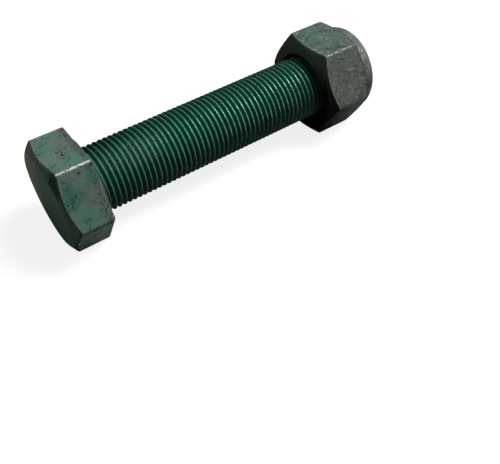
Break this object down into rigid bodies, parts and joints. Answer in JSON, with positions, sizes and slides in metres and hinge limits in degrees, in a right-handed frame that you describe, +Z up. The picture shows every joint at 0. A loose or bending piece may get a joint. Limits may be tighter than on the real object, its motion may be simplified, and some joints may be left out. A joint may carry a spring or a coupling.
{
  "type": "tensioner bolt with self-locking nut",
  "caption": "Fully threaded hexagon bolt with a fine thread and a self-locking collar nut run on to its end, in a worn green coat.",
  "frame": {"origin": "centre of the bearing face under the head, on the thread axis", "axes": "+X along the thread from the head to the tip, +Z up, square to the flats that both hexagons lie on"},
  "size_m": [0.1354, 0.0416, 0.036],
  "materials": {
    "bolt_coat": "satin",
    "nut_coat": "matte",
    "insert": "matte"
  },
  "bodies": {
    "bolt": {"bolt": "bolt_coat"},
    "insert": {"nylon_insert": "insert"},
    "nut": {"lock_nut": "nut_coat"}
  },
  "joints": [
    {"name": "nut_travel", "type": "slide", "parent": "bolt", "child": "insert", "axis": [1, 0, 0], "range_m": [-0.092, 0.026]},
    {"name": "nut_turn", "type": "hinge", "parent": "insert", "child": "nut", "pos_m": [0.0928, 0, 0], "axis": [1, 0, 0], "range_deg": [-16560, 4680]}
  ],
  "couplings": [
    {"joint": "nut_travel", "follows": "nut_turn", "m_per_rad": 0.00031831}
  ]
}
